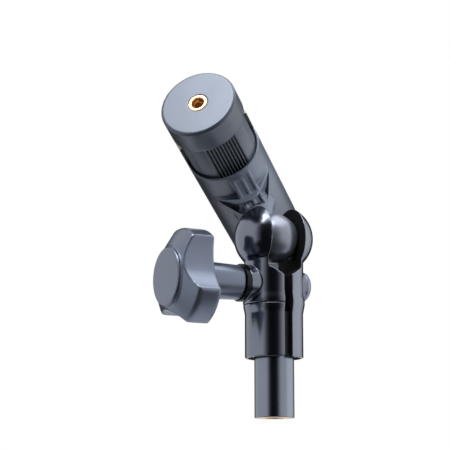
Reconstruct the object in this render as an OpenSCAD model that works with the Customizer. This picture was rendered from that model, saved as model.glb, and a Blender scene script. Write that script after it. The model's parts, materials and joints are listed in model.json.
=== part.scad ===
/* [Clamping range] */
// Width held between the two jaw pads in the stored position
held_width = 70.9; // [66:0.1:74]
// How far the upper jaw opens from there
jaw_open_travel = 14.1; // [6:0.1:14.1]
// How far the upper jaw closes from there
jaw_close_travel = 14.9; // [6:0.1:14.9]

/* [Stored pose of the ball joint] */
// Backward tilt of the neck from upright, in degrees
neck_tilt = 38.1; // [20:0.1:45]
// Sideways lean of the neck in the window, in degrees
neck_lean = 6; // [0:0.5:6]
// Turn of the holder about its own neck, in degrees
neck_roll = 43.4; // [20:0.1:60]

/* [Holder body] */
// Outer radius of the round holder
body_radius = 16; // [15.8:0.1:16.4]
// Wall of the housing
housing_wall = 1.5; // [1.4:0.05:1.6]
// Height of each jaw
jaw_height = 12; // [11:0.1:13]
// Thickness of each rubber jaw pad
pad_thickness = 5.5; // [5:0.1:6]
// Slider showing between the head and the mouth of the housing
slider_showing = 20; // [19.2:0.1:20.6]
// Radius of the camera thread, at its crests
camera_thread_radius = 2.6; // [2.55:0.01:2.65]
// Outer radius of the brass insert
brass_radius = 4; // [3.8:0.1:4.2]
// Number of grip grooves on the slider
grip_grooves = 10; // [8:1:11]

/* [Ball and clamp] */
// Radius of the ball
ball_radius = 10.5; // [10.4:0.05:10.6]
// Height of the ball centre over the lower end of the tube
ball_height = 75; // [74:0.5:80]
// Distance from the ball centre to the axis of the holder
neck_length = 34; // [33.5:0.1:35]
// Radius of each rounded clamp half
dome_radius = 14.16; // [14:0.02:14.4]
// Offset of each rounded half from the middle
dome_offset = 2.84; // [2.6:0.02:3]
// Half of the width of the window that the neck passes through
window_half = 7.7; // [7.5:0.1:7.8]
// Width of the slot between the halves
slot_width = 3.5; // [3.2:0.1:3.8]
// Radius of the clamp body at its ridge
clamp_radius = 12.9; // [12.7:0.1:13.1]
// Radius of the sleeve round the tube
sleeve_radius = 12.15; // [12:0.05:12.3]
// Length of the sleeve
sleeve_length = 22; // [20:0.5:23]
// Radius of the clamp bolt
bolt_radius = 4; // [3.8:0.1:4]

/* [Knob] */
// Radius over the lobes
knob_radius = 20.5; // [19.5:0.1:21]
// Depth of the lobes
knob_depth = 10.7; // [10:0.1:11.5]
// Turn of the lobes in the stored position, in degrees
knob_angle = 76; // [60:1:100]
// Radius of the raised cap
cap_radius = 12.3; // [11.5:0.1:12.8]

/* [Support tube] */
// Outer radius of the tube
tube_radius = 8.25; // [8.15:0.05:8.35]
// Wall of the tube
tube_wall = 1.5; // [1.4:0.1:1.7]
// Radius of the thread in the lower end, at its crests
end_thread_radius = 4; // [3.95:0.01:4.05]

/* [Hidden] */
$fn = 96;
running_gap = 0.08;
sliding_gap = 0.1;
ball_gap = 0.05;
rest_gap = 0.1;
over = 1;
slight = 0.02;
quarter_turn = 90;

// Holder levels, from the level of the neck along the holder
face_level = 59;
head_bottom = face_level - jaw_height;
upper_pad_level = head_bottom - pad_thickness;
lower_pad_level = upper_pad_level - held_width;
lower_jaw_top = lower_pad_level - pad_thickness;
lower_jaw_bottom = lower_jaw_top - jaw_height;
mouth_level = head_bottom - slider_showing;
bore_radius = body_radius - housing_wall;
slider_radius = bore_radius - running_gap;
slider_wall = 1.62;
slider_inner = slider_radius - slider_wall;
slider_margin = 6.6;
slider_roof = 2;
flat_depth = 2;
flat_wall = 1.4;
bore_flat = flat_depth - flat_wall;
slider_flat = bore_flat - sliding_gap;
slider_inner_flat = slider_flat - slider_wall;
tongue_back = flat_depth + sliding_gap;
tongue_thickness = 2;
tongue_gap = 0.4;
tongue_front = tongue_back + tongue_thickness;
tongue_half = body_radius;
tongue_bottom = lower_pad_level + jaw_close_travel + tongue_gap;
tongue_corner = 2.8;
tongue_top = upper_pad_level - rest_gap;
tab_half = 8;
tab_key_level = mouth_level + jaw_close_travel + tongue_gap;
rest_pad_half = 11;
rest_pad_thickness = 0.5;
rest_pad_margin = 4;
pad_inset = 0.3;
pad_radius = body_radius - pad_inset;
pad_groove = 0.5;
pad_groove_backs = [6.2, 8.4, 10.6];
ear_width = 1.7;
ear_drop = 4.6;
ear_slope = 1.6;
edge_chamfer = 0.8;
mouth_chamfer = 0.7;

// Grip patch on the back of the slider
grip_flat_depth = 1.9;
grip_level = slider_radius - grip_flat_depth;
grip_half = 6.9;
grip_stop = 0.6;
groove_stop = 1.2;
groove_depth = 0.6;
groove_width_share = 0.5;
grip_back_wall = 1.5;

// Thread insert in the head
brass_length = 9.5;
brass_floor = 0.8;
lead_in = 0.6;

// Screws and the spigot of the lower jaw
spigot_height = 5.4;
spigot_wall = 2.2;
jaw_screw_radius = 1.25;
jaw_screw_head = 2.3;
jaw_screw_head_height = 0.8;
jaw_screw_recess = 1.4;
jaw_screw_seat = body_radius - jaw_screw_recess;
jaw_screw_back = -2.4;
jaw_screw_level = lower_jaw_top + spigot_height / 2;
spring_well = 6;
slider_bottom = lower_jaw_top + spigot_height + jaw_close_travel + slider_margin;
head_screw_radius = 1.5;
head_screw_head = 2.8;
head_screw_spread = 6;
head_screw_back = -5;
head_screw_length = 9;
head_screw_head_height = 1.8;
stop_screw_radius = 1.5;
stop_screw_head = 2.6;
stop_screw_seat = 0.6;
stop_screw_drop = 15;
stop_screw_level = mouth_level - stop_screw_drop;
stop_screw_tip = -0.9;
socket_radius = 1.1;
socket_depth = 0.5;
head_socket_radius = 1.3;

// Return spring
spring_back_share = 0.375;
spring_back = -spring_back_share * body_radius;
pin_radius = 1.2;
pin_seat = 0.8;
lower_pin_rise = 1.6;
lower_pin_level = lower_jaw_top + lower_pin_rise;
upper_pin_drop = 8.5;
upper_pin_level = head_bottom - upper_pin_drop;
pin_half = sqrt(pow(slider_radius, 2) - pow(spring_back, 2)) - pin_radius / 2;
lower_pin_half = sqrt(pow(bore_radius - spigot_wall, 2) - pow(spring_back, 2)) + pin_seat;
jaw_screw_tip = sqrt(pow(bore_radius - spigot_wall, 2) - pow(jaw_screw_back, 2)) - rest_gap;
wire_radius = 0.45;
coil_radius = 4;
coil_turns = 34;
hook_space = 7;
hook_rise = 3.2;
hook_lean = 2.6;
hook_step = 25;
lower_hook_start = 60;
upper_hook_start = 190;
hook_gap = 0.02;
coil_start = lower_pin_level + hook_space;
coil_end = upper_pin_level - hook_space;
ring_steps = 8;
wire_sides = 6;

// Neck
neck_seat = 4;
neck_root = body_radius - neck_seat;
neck_end = 24.8;
neck_radius = 5;
neck_flare = 4.4;
neck_flare_shares = [[1, 0], [0.86, 0.34], [0.5, 0.48], [0.23, 0.66], [0.07, 0.83], [0, 1]];
stud_radius = 4;
stud_end = 37;
stud_tip_gap = 0.6;
stud_hole_end = stud_end + stud_tip_gap;
web = 1.2;
wing_tip = 13.4;
wing_level = 14.2;
wing_seat = 0.3;
wing_back = sqrt(pow(body_radius, 2) - pow(wing_tip, 2)) - wing_seat;
wing_reach = 5;
wing_end = body_radius + wing_reach;
wing_curve_shares = [[1, 0], [0.96, 0.16], [0.84, 0.36], [0.69, 0.52], [0.54, 0.68], [0.4, 0.81],
    [0.25, 0.94], [0, 1]];
lower_wall_shares = [[1, 1], [1, 0.9], [0.64, 0.32], [0.3, 0.01], [0, 0.01], [0, 0.16], [0.24, 0.16],
    [0.55, 0.41]];
rib_seat = 1.2;
rib_root = body_radius - rib_seat;
rib_reach = 9.6;
rib_height = 24.4;
rib_profile_shares = [[0, 0], [1, 0], [0.92, 0.13], [0.71, 0.25], [0.5, 0.39], [0.36, 0.56],
    [0.27, 0.74], [0.19, 0.92], [0.08, 1], [0, 1]];
rib_width = 1.2;
rib_offsets = [-3.3, 0.6, 4.3];
spine_offset = 0.5;
spine_width = 8.6;
spine_drop = 1.3;
lower_web_width = 7;
lower_web_drop = 0.6;
lower_web_depth = 15;
neck_keepout = 16.6;

// Clamp
dome_cut = 17;
slot_half = slot_width / 2;
cup_radius = 11.5;
ridge_drop = 28.4;
ridge_level = ball_height - ridge_drop;
sleeve_bottom = ridge_level - sleeve_length;
ridge_height = 1.8;
ridge_taper = 0.5;
ridge_skirt = 3.8;
body_rise = 4;
body_radius_low = 12.4;
floor_thickness = 1.6;
window_drop = 13.4;
window_bottom = ball_height - window_drop;
funnel_drop = 3.3;
funnel_half = 6.9;
funnel_angle = atan2(funnel_drop, funnel_half - slot_half);
bolt_drop = 19.8;
bolt_level = ball_height - bolt_drop;
boss_radius = 7.5;
boss_end = 14.6;
bolt_head_radius = 6.5;
bolt_head_base = 12.3;
bolt_head_height = 3.9;
bolt_seat_root = 4;
bolt_seat_margin = 0.4;
bolt_dome_shares = [[0, 0], [1, 0], [1, 0.23], [0.94, 0.49], [0.8, 0.72], [0.58, 0.9], [0.31, 0.97], [0, 1]];
bolt_end = 33;
bolt_key_half = 3.6;
bolt_key_depth = 3;
washer_thickness = 2.1;
washer_radius = 7.9;
stem_start = boss_end + washer_thickness;
stem_radius = 7.2;
stem_radius_knob = 7.8;
knob_back = 34.3;
knob_front = knob_back + knob_depth;
cap_level = 49.6;
cap_top = 50.4;
cap_recess = 2.2;
cap_step = 0.6;
cap_edge = 0.7;
cap_collar = 0.2;
knob_edge = 1.6;
knob_back_edge = 0.9;
knob_crown = 0.2;
knob_slope_drop = 1;
edge_share = 0.3;
valley_radius = 21;
waist_radius = 13.4;
valley_centre = valley_radius + waist_radius;
knob_insert_radius = 5.8;
knob_insert_end = 30;
knob_bore_end = 36;
knob_bore_gap = 0.3;
liner_edge = 8.1;

// Tube
bush_radius = 9.6;
bush_lip = 0.6;
tube_inner = tube_radius - tube_wall;
plug_depth = 7;
plug_flange = 1;
tube_top = ridge_level - floor_thickness - plug_flange - rest_gap;
pivot_radius = 2.5;
pivot_head_radius = 4;
pivot_head_height = 2.6;
pivot_pocket = 0.5;
pivot_socket_radius = 2;
pivot_socket_depth = 1.4;
end_insert_length = 12;
tube_edge = 0.4;

function unit(v) = v / norm(v);

module in_holder() {
    translate([0, 0, ball_height])
        rotate([-neck_tilt, 0, 0]) rotate([0, -neck_lean, 0])
        rotate([0, 0, -neck_roll]) rotate([quarter_turn, 0, 0])
        translate([0, neck_length, 0]) children();
}

// Round section with its front cut flat
module cut_round(r, flat) {
    difference() {
        circle(r);
        translate([-r - over, flat]) square([2 * r + 2 * over, 2 * r]);
    }
}

// Round section with only its front kept
module front_round(r, back) {
    intersection() {
        circle(r);
        translate([-r, back]) square([2 * r, 2 * r]);
    }
}

module span(low, high) {
    translate([0, 0, low]) linear_extrude(high - low) children();
}

// Turned shape about the neck, level counted away from the holder
module about_neck() {
    rotate([quarter_turn, 0, 0]) rotate_extrude() children();
}

// Side profile, drawn in back and level, made w wide at offset u
module side_plate(u, w) {
    translate([u - w / 2, 0, 0]) rotate([quarter_turn, 0, quarter_turn])
        linear_extrude(w) children();
}

// Outline of a rib behind the body, lowered by drop, drawn in back and level
module gusset_profile(drop) {
    polygon([for (p = rib_profile_shares) [-rib_root - (rib_reach - drop) * p[0], rib_height * p[1]]]);
}

// Curve of a side wing from its tip on the housing to the neck, drawn in width and back
module wing_curve() {
    polygon(concat([[0, -wing_back]],
        [for (p = wing_curve_shares) [wing_tip * p[0], -wing_back - (wing_end - wing_back) * p[1]]]));
}

// One wall of a wing: its strip on the housing, drawn in width and level, under the wing's curve
module wing_wall() {
    intersection() {
        span(-over, mouth_level) wing_curve();
        rotate([quarter_turn, 0, 0]) linear_extrude(neck_length) children();
    }
}

module neck_stem() {
    about_neck() polygon(concat([[0, neck_root]],
        [for (p = neck_flare_shares)
            [neck_radius + neck_flare * p[0], neck_root + (neck_end - neck_root) * p[1]]],
        [[stud_radius, neck_end], [stud_radius, stud_end - lead_in], [stud_radius - lead_in, stud_end],
            [0, stud_end]]));
}

// Ribs and wings, kept clear of the rounded clamp halves at every turn of the ball
module neck_casting() {
    neck_stem();
    difference() {
        neck_webs();
        translate([0, -neck_length, 0]) sphere(neck_keepout);
    }
}

module neck_webs() {
    side_plate(spine_offset, spine_width) gusset_profile(spine_drop);
    for (u = rib_offsets) side_plate(u, rib_width) gusset_profile(0);
    mirror([0, 0, 1]) side_plate(0, lower_web_width) intersection() {
        gusset_profile(lower_web_drop);
        translate([-neck_length, 0]) square([neck_length, lower_web_depth]);
    }
    for (side = [0, 1]) mirror([side, 0, 0]) {
        wing_wall() translate([0, wing_level - web]) square([wing_tip, web]);
        wing_wall() polygon([for (p = lower_wall_shares) [wing_tip * p[0], (wing_level - slight) * p[1]]]);
    }
}

module housing() {
    color("#3a3f46") in_holder() difference() {
        union() {
            span(lower_jaw_top, mouth_level) cut_round(body_radius, flat_depth);
            neck_casting();
        }
        span(lower_jaw_top - over, mouth_level + over) cut_round(bore_radius, bore_flat);
        translate([0, 0, mouth_level - mouth_chamfer])
            cylinder(h = mouth_chamfer + slight, r1 = bore_radius, r2 = bore_radius + mouth_chamfer);
        for (side = [0, 1]) mirror([side, 0, 0])
            translate([jaw_screw_seat, jaw_screw_back, jaw_screw_level]) rotate([0, quarter_turn, 0]) {
                translate([0, 0, -2 * housing_wall]) cylinder(h = 3 * housing_wall, r = jaw_screw_radius);
                cylinder(h = 2 * housing_wall, r = jaw_screw_head);
            }
        translate([0, flat_depth + slight, stop_screw_level]) rotate([quarter_turn, 0, 0]) {
            cylinder(h = 2 * flat_wall, r = stop_screw_radius);
            cylinder(h = flat_wall - stop_screw_seat + slight, r = stop_screw_head);
        }
    }
}

module lower_jaw() {
    color("#33383f") in_holder() difference() {
        union() {
            translate([0, 0, lower_jaw_bottom])
                cylinder(h = edge_chamfer, r1 = body_radius - edge_chamfer, r2 = body_radius);
            span(lower_jaw_bottom + edge_chamfer, lower_jaw_top) circle(body_radius);
            span(lower_jaw_top, lower_jaw_top + spigot_height)
                cut_round(bore_radius - sliding_gap, bore_flat - sliding_gap);
        }
        span(lower_jaw_top - spring_well, lower_jaw_top + spigot_height + over)
            cut_round(bore_radius - spigot_wall, bore_flat - spigot_wall);
        translate([-lower_pin_half, spring_back, lower_pin_level]) rotate([0, quarter_turn, 0])
            cylinder(h = 2 * lower_pin_half, r = pin_radius);
        for (side = [0, 1]) mirror([side, 0, 0])
            translate([bore_radius - 2 * spigot_wall, jaw_screw_back, jaw_screw_level])
                rotate([0, quarter_turn, 0]) cylinder(h = 3 * spigot_wall, r = jaw_screw_radius);
    }
}

module jaw_pad_shape(notch) {
    difference() {
        front_round(pad_radius, tongue_back);
        if (notch) translate([-tab_half - sliding_gap, 0])
            square([2 * tab_half + 2 * sliding_gap, tongue_front]);
    }
}

module pad_grooves(level) {
    for (y = pad_groove_backs) translate([-body_radius, y, level])
        rotate([45, 0, 0]) translate([0, -pad_groove / 2, -pad_groove / 2])
        cube([2 * body_radius, pad_groove, pad_groove]);
}

module lower_jaw_pad() {
    color("#d9d2b8") in_holder() difference() {
        span(lower_jaw_top, lower_pad_level) jaw_pad_shape(false);
        pad_grooves(lower_pad_level);
    }
}

module upper_jaw_pad() {
    color("#e4ddc2") in_holder() difference() {
        union() {
            span(upper_pad_level, head_bottom) jaw_pad_shape(true);
            for (side = [0, 1]) mirror([side, 0, 0]) pad_ear();
        }
        pad_grooves(upper_pad_level);
    }
}

// Ear of the upper pad that folds over the edge of the plate behind the phone
module pad_ear() {
    translate([0, tongue_front, 0]) rotate([quarter_turn, 0, 0]) linear_extrude(tongue_thickness)
        polygon([[tongue_half - ear_width, head_bottom], [tongue_half, head_bottom],
            [tongue_half, upper_pad_level - ear_drop],
            [tongue_half - ear_width / 2, upper_pad_level - ear_drop],
            [tongue_half - ear_width, upper_pad_level - ear_drop + ear_slope]]);
}

module lower_jaw_screws() {
    color("#2c2d30") in_holder() for (side = [0, 1]) mirror([side, 0, 0])
        translate([jaw_screw_seat, jaw_screw_back, jaw_screw_level]) rotate([0, quarter_turn, 0])
        difference() {
            union() {
                translate([0, 0, jaw_screw_tip - jaw_screw_seat])
                    cylinder(h = jaw_screw_seat - jaw_screw_tip + slight, r = jaw_screw_radius);
                cylinder(h = jaw_screw_head_height, r = jaw_screw_head - slight);
            }
            translate([0, 0, jaw_screw_head_height - socket_depth])
                cylinder(h = 2 * socket_depth, r = socket_radius, $fn = 6);
        }
}

module stop_screw() {
    color("#2c2d30") in_holder() translate([0, flat_depth, stop_screw_level])
        rotate([quarter_turn, 0, 0]) difference() {
            union() {
                cylinder(h = flat_depth - stop_screw_tip, r = stop_screw_radius);
                cylinder(h = flat_wall - stop_screw_seat, r = stop_screw_head - slight);
            }
            translate([0, 0, -over]) cylinder(h = over + socket_depth, r = socket_radius, $fn = 6);
        }
}

module pin_at(level, half) {
    translate([-half, spring_back, level]) rotate([0, quarter_turn, 0])
        cylinder(h = 2 * half, r = pin_radius);
}

module spring_pin_lower() { color("#9a9da2") in_holder() pin_at(lower_pin_level, lower_pin_half); }
module spring_pin_upper() { color("#9a9da2") in_holder() pin_at(upper_pin_level, pin_half); }

// Path of the spring wire: hook, coil, hook
hook_radius = pin_radius + wire_radius + hook_gap;
hook_steps = 10;
coil_points = coil_turns * ring_steps;
lower_hook = [for (i = [0 : hook_steps]) let (a = lower_hook_start - i * hook_step)
    [0, spring_back + hook_radius * cos(a), lower_pin_level + hook_radius * sin(a)]];
upper_hook = [for (i = [0 : hook_steps]) let (a = upper_hook_start - i * hook_step)
    [0, spring_back + hook_radius * cos(a), upper_pin_level + hook_radius * sin(a)]];
coil = [for (i = [0 : coil_points]) let (a = 180 + i * 360 / ring_steps, s = i / coil_points)
    [coil_radius * sin(a), spring_back + coil_radius * cos(a), coil_start + (coil_end - coil_start) * s]];
wire_path = concat(lower_hook, [[0, spring_back - 2 * pin_radius, lower_pin_level + hook_rise]], coil,
    [[0, spring_back - hook_lean, upper_pin_level - hook_lean]], upper_hook);
function tangent(p, i) = unit(p[min(i + 1, len(p) - 1)] - p[max(i - 1, 0)]);
function carry(p, i, n, out) = i >= len(p) ? out :
    let (t = tangent(p, i), m = unit(n - (n * t) * t)) carry(p, i + 1, m, concat(out, [m]));

module wire(p, r, sides) {
    normals = carry(p, 0, [1, 0.01, 0], []);
    points = [for (i = [0 : len(p) - 1]) let (n = normals[i], b = cross(tangent(p, i), n))
        for (k = [0 : sides - 1]) let (a = 360 * k / sides) p[i] + r * (cos(a) * n + sin(a) * b)];
    last = (len(p) - 1) * sides;
    faces = concat([[for (k = [0 : sides - 1]) k]], [[for (k = [sides - 1 : -1 : 0]) last + k]],
        [for (i = [0 : len(p) - 2]) for (k = [0 : sides - 1]) let (j = (k + 1) % sides)
            [i * sides + j, i * sides + k, (i + 1) * sides + k]],
        [for (i = [0 : len(p) - 2]) for (k = [0 : sides - 1]) let (j = (k + 1) % sides)
            [i * sides + j, (i + 1) * sides + k, (i + 1) * sides + j]]);
    polyhedron(points, faces, convexity = 10);
}

module return_spring() { color("#8d9196") in_holder() wire(wire_path, wire_radius, wire_sides); }

module slider() {
    groove_pitch = 2 * grip_half / grip_grooves;
    color("#2b2f35") in_holder() difference() {
        span(slider_bottom, head_bottom) cut_round(slider_radius, slider_flat);
        span(slider_bottom - over, head_bottom - slider_roof) intersection() {
            cut_round(slider_inner, slider_inner_flat);
            translate([-body_radius, -grip_level + groove_depth + grip_back_wall])
                square([2 * body_radius, 2 * body_radius]);
        }
        translate([-body_radius, -2 * body_radius - grip_level, slider_bottom - over])
            cube([2 * body_radius, 2 * body_radius, head_bottom - slider_bottom + over - grip_stop]);
        for (i = [0 : grip_grooves - 1])
            translate([-grip_half + (i + (1 - groove_width_share) / 2) * groove_pitch, -grip_level - slight,
                slider_bottom - over])
                cube([groove_pitch * groove_width_share, groove_depth + slight,
                    head_bottom - slider_bottom + over - groove_stop]);
        translate([-stop_screw_radius - sliding_gap, slider_flat - 3 * slider_wall,
            stop_screw_level - stop_screw_radius - jaw_open_travel - sliding_gap])
            cube([2 * (stop_screw_radius + sliding_gap), 4 * slider_wall,
                2 * (stop_screw_radius + sliding_gap) + jaw_open_travel + jaw_close_travel]);
        pin_at(upper_pin_level, pin_half);
        for (side = [0, 1]) mirror([side, 0, 0])
            translate([head_screw_spread, head_screw_back, head_bottom - slider_roof - over])
                cylinder(h = slider_roof + 2 * over, r = head_screw_radius + sliding_gap);
    }
}

module jaw_head() {
    color("#9aa0aa") in_holder() difference() {
        union() {
            translate([0, 0, head_bottom])
                cylinder(h = edge_chamfer / 2, r1 = body_radius - edge_chamfer / 2, r2 = body_radius);
            span(head_bottom + edge_chamfer / 2, face_level - edge_chamfer) circle(body_radius);
            translate([0, 0, face_level - edge_chamfer])
                cylinder(h = edge_chamfer, r1 = body_radius, r2 = body_radius - edge_chamfer);
        }
        span(face_level - brass_length, face_level + over) circle(brass_radius);
        for (side = [0, 1]) mirror([side, 0, 0])
            translate([head_screw_spread, head_screw_back, head_bottom - over])
                cylinder(h = head_screw_length - slider_roof + over, r = head_screw_radius);
    }
}

module head_screws() {
    color("#55585c") in_holder() for (side = [0, 1]) mirror([side, 0, 0])
        translate([head_screw_spread, head_screw_back, head_bottom - slider_roof]) difference() {
            union() {
                cylinder(h = head_screw_length - rest_gap, r = head_screw_radius);
                translate([0, 0, -head_screw_head_height])
                    cylinder(h = head_screw_head_height, r = head_screw_head);
            }
            translate([0, 0, -head_screw_head_height - over])
                cylinder(h = over + socket_depth, r = head_socket_radius, $fn = 6);
        }
}

module thread_insert() {
    color("#c98a3c") in_holder() difference() {
        span(face_level - brass_length, face_level) circle(brass_radius);
        span(face_level - brass_length + brass_floor, face_level + over) circle(camera_thread_radius);
        translate([0, 0, face_level - lead_in])
            cylinder(h = lead_in + slight, r1 = camera_thread_radius, r2 = camera_thread_radius + lead_in);
    }
}

// Outline of the plate behind the phone, drawn in width and level, with room for the ears of the pad
module tongue_outline() {
    for (side = [0, 1]) mirror([side, 0]) polygon([[-slight, tongue_bottom],
        [tongue_half - tongue_corner, tongue_bottom], [tongue_half, tongue_bottom + tongue_corner],
        [tongue_half, upper_pad_level - ear_drop - rest_gap],
        [tongue_half - ear_width / 2, upper_pad_level - ear_drop - rest_gap],
        [tongue_half - ear_width - rest_gap, upper_pad_level - ear_drop + ear_slope - rest_gap],
        [tongue_half - ear_width - rest_gap, tongue_top], [-slight, tongue_top]]);
}

module support_tongue() {
    color("#17191c") in_holder() {
        translate([0, tongue_front, 0]) rotate([quarter_turn, 0, 0]) linear_extrude(tongue_thickness)
            tongue_outline();
        span(tongue_top - slight, head_bottom) translate([-tab_half, tongue_back])
            square([2 * tab_half, tongue_thickness]);
        span(tab_key_level, head_bottom) translate([-tab_half, slider_flat])
            square([2 * tab_half, tongue_back - slider_flat + slight]);
    }
}

module tongue_pad() {
    color("#222428") in_holder()
        span(tongue_bottom + rest_pad_margin, tongue_top - rest_pad_margin)
        translate([-rest_pad_half, tongue_front]) square([2 * rest_pad_half, rest_pad_thickness]);
}

module ball() {
    color("#50545a") in_holder() translate([0, -neck_length, 0]) difference() {
        sphere(ball_radius);
        translate([-ball_radius, neck_length - neck_end, -ball_radius])
            cube(2 * ball_radius);
        rotate([-quarter_turn, 0, 0]) translate([0, 0, neck_length - stud_hole_end])
            cylinder(h = 2 * ball_radius, r = stud_radius + ball_gap);
    }
}

// Solid of both halves on the plus side
module half_solid() {
    translate([dome_offset, 0, ball_height]) sphere(dome_radius);
    span(ridge_level, window_bottom + body_rise) circle(body_radius_low);
    span(ridge_level, ridge_level + ridge_height) circle(clamp_radius);
    translate([0, 0, ridge_level + ridge_height])
        cylinder(h = ridge_taper, r1 = clamp_radius, r2 = body_radius_low);
}

module half_cuts() {
    translate([0, 0, ball_height]) sphere(cup_radius);
    translate([-window_half, -dome_cut, window_bottom]) cube([2 * window_half, 2 * dome_cut, 2 * dome_cut]);
    translate([-dome_cut, -dome_cut, 0]) cube([dome_cut + slot_half, 2 * dome_cut, 6 * dome_cut]);
    translate([slot_half, -dome_cut, window_bottom - funnel_drop]) rotate([0, -funnel_angle, 0])
        translate([-over, 0, 0])
        cube([norm([funnel_half - slot_half, funnel_drop]) + over + rest_gap, 2 * dome_cut, 2 * funnel_drop]);
    translate([0, 0, ridge_level - over])
        cylinder(h = over + pivot_head_height + pivot_pocket, r = pivot_head_radius + pivot_pocket);
    translate([-over, 0, bolt_level]) rotate([0, quarter_turn, 0])
        cylinder(h = 2 * dome_cut, r = bolt_radius + running_gap);
}

module clamp_half_right() {
    color("#1b1d20") {
        difference() {
            union() {
                half_solid();
                translate([bolt_head_base - bolt_seat_root, 0, bolt_level]) rotate([0, quarter_turn, 0])
                    cylinder(h = bolt_seat_root, r = bolt_head_radius + bolt_seat_margin);
            }
            half_cuts();
            translate([bolt_head_base - bolt_key_depth, -bolt_key_half, bolt_level - bolt_key_half])
                cube([2 * bolt_key_depth, 2 * bolt_key_half, 2 * bolt_key_half]);
        }
        difference() {
            union() {
                span(sleeve_bottom, ridge_level) circle(sleeve_radius);
                translate([0, 0, ridge_level - ridge_skirt])
                    cylinder(h = ridge_skirt, r1 = sleeve_radius, r2 = clamp_radius);
            }
            span(sleeve_bottom - over, ridge_level - floor_thickness) circle(bush_radius);
            span(ridge_level - 2 * floor_thickness, ridge_level + over) circle(pivot_radius + running_gap);
            translate([-slot_half, -dome_cut, sleeve_bottom - over])
                cube([slot_width, dome_cut - pivot_head_radius - pivot_pocket, sleeve_length + 2 * over]);
        }
    }
}

module clamp_half_left() {
    color("#1b1d20") mirror([1, 0, 0]) difference() {
        union() {
            half_solid();
            translate([bolt_head_base - bolt_seat_root, 0, bolt_level]) rotate([0, quarter_turn, 0])
                cylinder(h = boss_end - bolt_head_base + bolt_seat_root, r = boss_radius);
        }
        half_cuts();
        span(ridge_level - over, ridge_level + rest_gap) circle(dome_cut);
    }
}

module liner() {
    difference() {
        translate([0, 0, ball_height]) sphere(cup_radius - slight);
        translate([0, 0, ball_height]) sphere(ball_radius + ball_gap);
        translate([-dome_cut, -dome_cut, 0]) cube([dome_cut + liner_edge, 2 * dome_cut, 8 * dome_cut]);
    }
}

module cup_liner_right() { color("#6a6d70") liner(); }
module cup_liner_left() { color("#6a6d70") mirror([1, 0, 0]) liner(); }

module clamp_bolt() {
    color("#26282b") translate([0, 0, bolt_level]) rotate([0, quarter_turn, 0]) {
        translate([0, 0, -bolt_end]) cylinder(h = bolt_end + bolt_head_base, r = bolt_radius);
        translate([0, 0, bolt_head_base]) rotate_extrude()
            polygon([for (p = bolt_dome_shares) [bolt_head_radius * p[0], bolt_head_height * p[1]]]);
        translate([-bolt_key_half + sliding_gap, -bolt_key_half + sliding_gap,
            bolt_head_base - bolt_key_depth + sliding_gap])
            cube([2 * (bolt_key_half - sliding_gap), 2 * (bolt_key_half - sliding_gap), bolt_key_depth]);
    }
}

// Turned shape about the bolt, level counted toward the knob
module about_bolt() {
    translate([0, 0, bolt_level]) rotate([0, -quarter_turn, 0]) children();
}

module thrust_washer() {
    color("#7d8288") about_bolt() difference() {
        span(boss_end, stem_start) circle(washer_radius);
        span(boss_end - over, stem_start + over) circle(bolt_radius + running_gap);
    }
}

// Three lobes with hollow valleys between them
module knob_outline() {
    difference() {
        circle(knob_radius);
        for (i = [0 : 2]) rotate(knob_angle + 60 + i * 120)
            translate([valley_centre, 0]) circle(valley_radius);
    }
}

// Turned outline that rounds the edges of the lobes and rises to the cap
module knob_turning() {
    rotate_extrude() polygon([[0, knob_back], [knob_radius - knob_back_edge, knob_back],
        [knob_radius - knob_back_edge * edge_share, knob_back + knob_back_edge * edge_share],
        [knob_radius, knob_back + knob_back_edge], [knob_radius, knob_front - knob_edge],
        [knob_radius - knob_edge * edge_share, knob_front - knob_edge * edge_share],
        [knob_radius - knob_edge, knob_front + knob_crown],
        [cap_radius + cap_edge, cap_level - knob_slope_drop], [0, cap_level - knob_slope_drop]]);
}

module knob() {
    color("#6d7480") about_bolt() rotate(-quarter_turn) difference() {
        union() {
            intersection() {
                span(knob_back, cap_level + over) knob_outline();
                knob_turning();
            }
            span(knob_front - knob_edge, cap_level) circle(cap_radius + cap_collar);
            translate([0, 0, stem_start])
                cylinder(h = knob_back - stem_start + slight, r1 = stem_radius, r2 = stem_radius_knob);
        }
        span(cap_level - cap_recess, cap_level + over) circle(cap_radius - cap_step);
        span(stem_start - over, knob_insert_end) circle(knob_insert_radius);
        span(stem_start - over, knob_bore_end) circle(bolt_radius + knob_bore_gap);
    }
}

module knob_insert() {
    color("#b98643") about_bolt() difference() {
        span(stem_start, knob_insert_end) circle(knob_insert_radius);
        span(stem_start - over, knob_insert_end + over) circle(bolt_radius + running_gap);
    }
}

module knob_cap() {
    color("#78808c") about_bolt() {
        span(cap_level - cap_recess, cap_level) circle(cap_radius - cap_step);
        translate([0, 0, cap_level])
            cylinder(h = cap_top - cap_level, r1 = cap_radius, r2 = cap_radius - cap_edge);
    }
}

module support_tube() {
    color("#1f2124") difference() {
        union() {
            cylinder(h = tube_edge, r1 = tube_radius - tube_edge, r2 = tube_radius);
            span(tube_edge, tube_top) circle(tube_radius);
        }
        span(-over, tube_top + over) circle(tube_inner);
    }
}

module tube_top_plug() {
    color("#3b3d40") difference() {
        union() {
            span(tube_top - plug_depth, tube_top) circle(tube_inner);
            span(tube_top, tube_top + plug_flange) circle(tube_radius);
        }
        span(tube_top - plug_depth - over, tube_top + plug_flange + over) circle(pivot_radius);
    }
}

module pivot_screw() {
    color("#4a4c50") difference() {
        union() {
            span(tube_top - plug_depth + pivot_pocket, ridge_level) circle(pivot_radius);
            span(ridge_level, ridge_level + pivot_head_height) circle(pivot_head_radius);
        }
        translate([0, 0, ridge_level + pivot_head_height - pivot_socket_depth])
            cylinder(h = pivot_socket_depth + over, r = pivot_socket_radius, $fn = 6);
    }
}

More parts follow.
